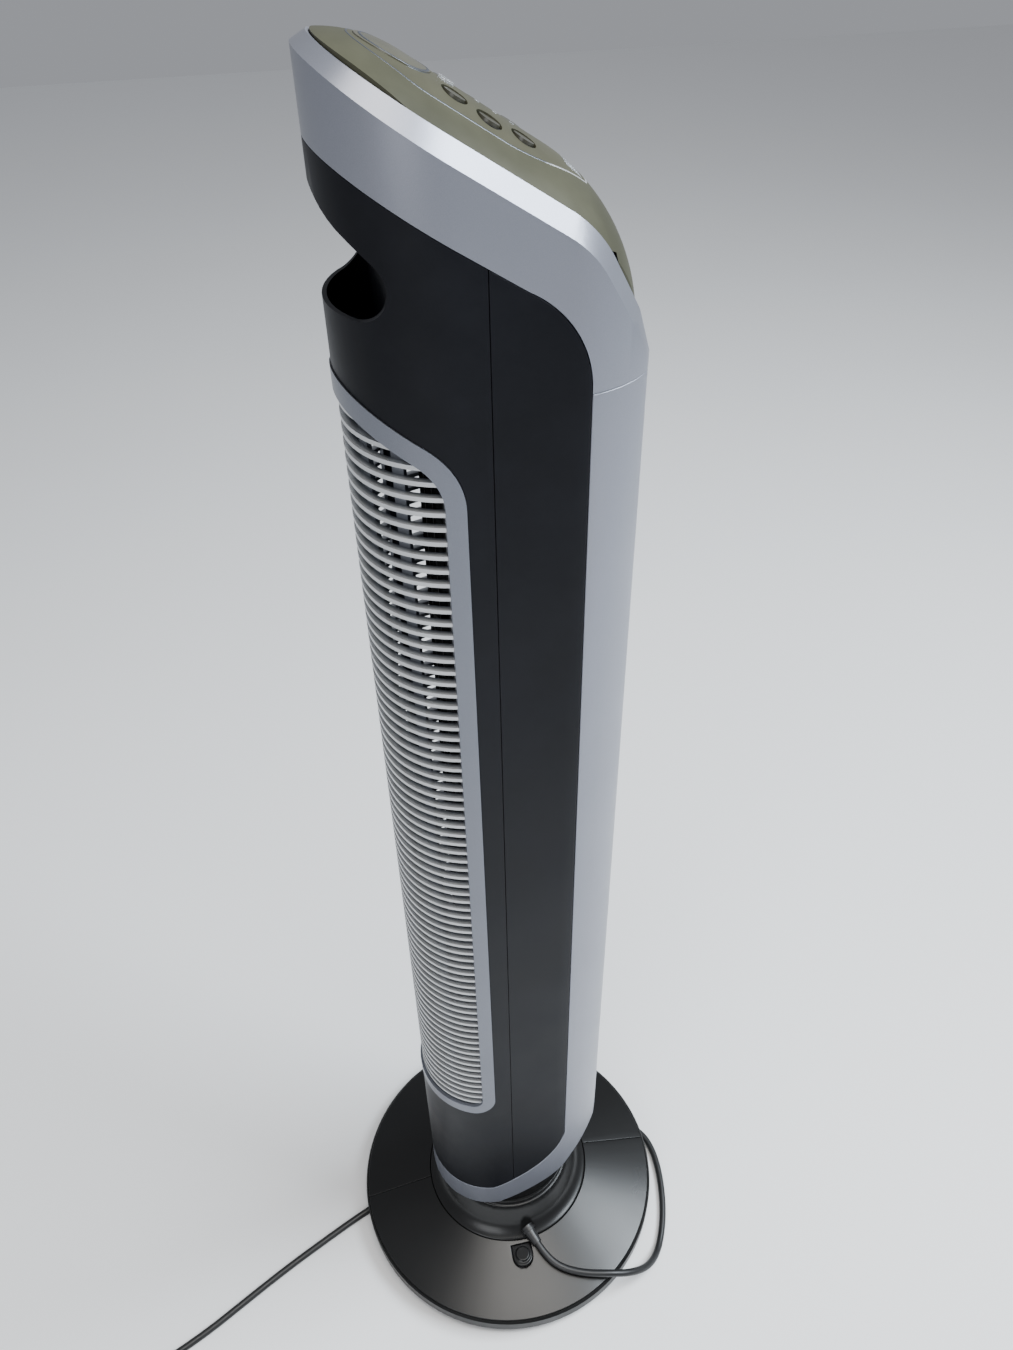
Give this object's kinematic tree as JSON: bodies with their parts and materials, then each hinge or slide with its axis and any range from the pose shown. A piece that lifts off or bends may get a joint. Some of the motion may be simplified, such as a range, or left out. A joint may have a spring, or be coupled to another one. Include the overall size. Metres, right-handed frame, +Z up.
{
  "type": "tower fan",
  "caption": "Swinging tower fan: tall column with slanted control top, slatted rear intake, cross-flow blower and grip notch, on a low round base with a mains cord.",
  "frame": {"origin": "centre of the round base on the floor", "axes": "+Z up along the swing axis, front of the fan faces -Y, +X to the right seen from the front"},
  "size_m": [0.3605, 0.628, 1.1111],
  "materials": {
    "black_satin_shell": "satin black moulded shell",
    "silver_paint": "silver satin paint over moulded plastic",
    "grille_silver": "bright silver painted slats",
    "frame_grey": "blue grey satin trim",
    "panel_satin": "dark olive grey satin control panel",
    "fascia_film": "satin fascia with a pale edge line",
    "clear_lens": "clear polished windows",
    "button_cap": "satin button caps",
    "button_ring": "dark button sleeves",
    "disc_face": "satin disc with a pale ring",
    "base_gloss": "glossy black moulded base",
    "base_satin": "satin black tray",
    "inner_black": "black internal moulding",
    "foot_rubber": "soft black rubber",
    "steel": "plain steel",
    "iron_weight": "cast ballast ring",
    "nylon": "natural slippery plastic",
    "circuit_board": "green circuit board",
    "blower_plastic": "dark grey blower plastic",
    "motor_iron": "stacked iron sheets",
    "copper_winding": "lacquered copper wire",
    "cord_pvc": "black flexible cord sheath",
    "plug_plastic": "black moulded plug",
    "plug_brass": "plated pins",
    "tie_wire": "black plastic tie"
  },
  "bodies": {
    "base": {"base_cover_left": "base_gloss", "base_cover_right": "base_gloss", "base_tray": "base_satin", "base_weight": "iron_weight", "neck": "base_gloss", "rubber_feet": "foot_rubber", "base_screws": "steel", "latch_tongue": "base_gloss", "cord_grommet": "cord_pvc", "pivot_post": "inner_black", "swing_plate": "inner_black", "thrust_washer": "blower_plastic", "retaining_ring": "steel", "mains_cord_run": "cord_pvc", "mains_cord_tail": "cord_pvc", "mains_cord_coil": "cord_pvc", "cord_tie": "tie_wire", "mains_plug": "plug_plastic", "plug_pins": "plug_brass"},
    "column": {"swing_motor": "steel", "turntable_drum": "inner_black", "front_frame": "silver_paint", "rear_housing": "black_satin_shell", "left_side_panel": "black_satin_shell", "right_side_panel": "black_satin_shell", "handle_liner": "black_satin_shell", "top_collar": "silver_paint", "control_panel": "panel_satin", "panel_fascia": "fascia_film", "display_disc": "disc_face", "panel_windows": "clear_lens", "button_surrounds": "button_ring", "control_board": "circuit_board", "tact_switches": "inner_black", "intake_surround": "frame_grey", "intake_grille": "grille_silver", "outlet_grille": "grille_silver", "scroll_guide": "inner_black", "vortex_tongue": "inner_black", "duct_floor": "inner_black", "motor_bracket": "inner_black", "motor_shell": "steel", "motor_stator": "motor_iron", "motor_windings": "copper_winding", "shaft_bearings": "steel", "upper_bearing_holder": "inner_black", "underside_panel": "inner_black", "housing_screws": "steel", "wiring_loom": "cord_pvc"},
    "blower": {"blower_wheel": "blower_plastic", "wheel_hub": "steel", "upper_stub_shaft": "steel", "motor_rotor": "steel"},
    "crank": {"crank_arm": "nylon"},
    "power_key": {"power_button": "button_cap"},
    "speed_key": {"speed_button": "button_cap"},
    "swing_key": {"swing_button": "button_cap"},
    "timer_key": {"timer_button": "button_cap"},
    "mode_key": {"mode_button": "button_cap"},
    "lamp_key": {"lamp_button": "button_cap"}
  },
  "joints": [
    {"name": "swing", "type": "hinge", "parent": "base", "child": "column", "pos_m": [0, 0, 0.08], "axis": [0, 0, 1], "range_deg": [-35, 35]},
    {"name": "crank_spin", "type": "hinge", "parent": "column", "child": "crank", "pos_m": [0, -0.03, 0.085], "axis": [0, 0, 1], "range_deg": [-92, 92]},
    {"name": "blower_spin", "type": "hinge", "parent": "column", "child": "blower", "pos_m": [0, -0.006, 0.3], "axis": [0, 0, 1], "continuous": true},
    {"name": "power_press", "type": "slide", "parent": "column", "child": "power_key", "axis": [0, 0.5373, -0.8434], "range_m": [0, 0.0012], "stiffness_N_per_m": 400, "springref_m": -0.0002},
    {"name": "speed_press", "type": "slide", "parent": "column", "child": "speed_key", "axis": [0, 0.5373, -0.8434], "range_m": [0, 0.0012], "stiffness_N_per_m": 400, "springref_m": -0.0002},
    {"name": "swing_press", "type": "slide", "parent": "column", "child": "swing_key", "axis": [0, 0.5373, -0.8434], "range_m": [0, 0.0012], "stiffness_N_per_m": 400, "springref_m": -0.0002},
    {"name": "timer_press", "type": "slide", "parent": "column", "child": "timer_key", "axis": [0, 0.5373, -0.8434], "range_m": [0, 0.0012], "stiffness_N_per_m": 400, "springref_m": -0.0002},
    {"name": "mode_press", "type": "slide", "parent": "column", "child": "mode_key", "axis": [0, 0.5373, -0.8434], "range_m": [0, 0.0012], "stiffness_N_per_m": 400, "springref_m": -0.0002},
    {"name": "lamp_press", "type": "slide", "parent": "column", "child": "lamp_key", "axis": [0, 0.5373, -0.8434], "range_m": [0, 0.0012], "stiffness_N_per_m": 400, "springref_m": -0.0002}
  ],
  "couplings": [
    {"joint": "crank_spin", "follows": "swing", "ratio": -2.6}
  ]
}
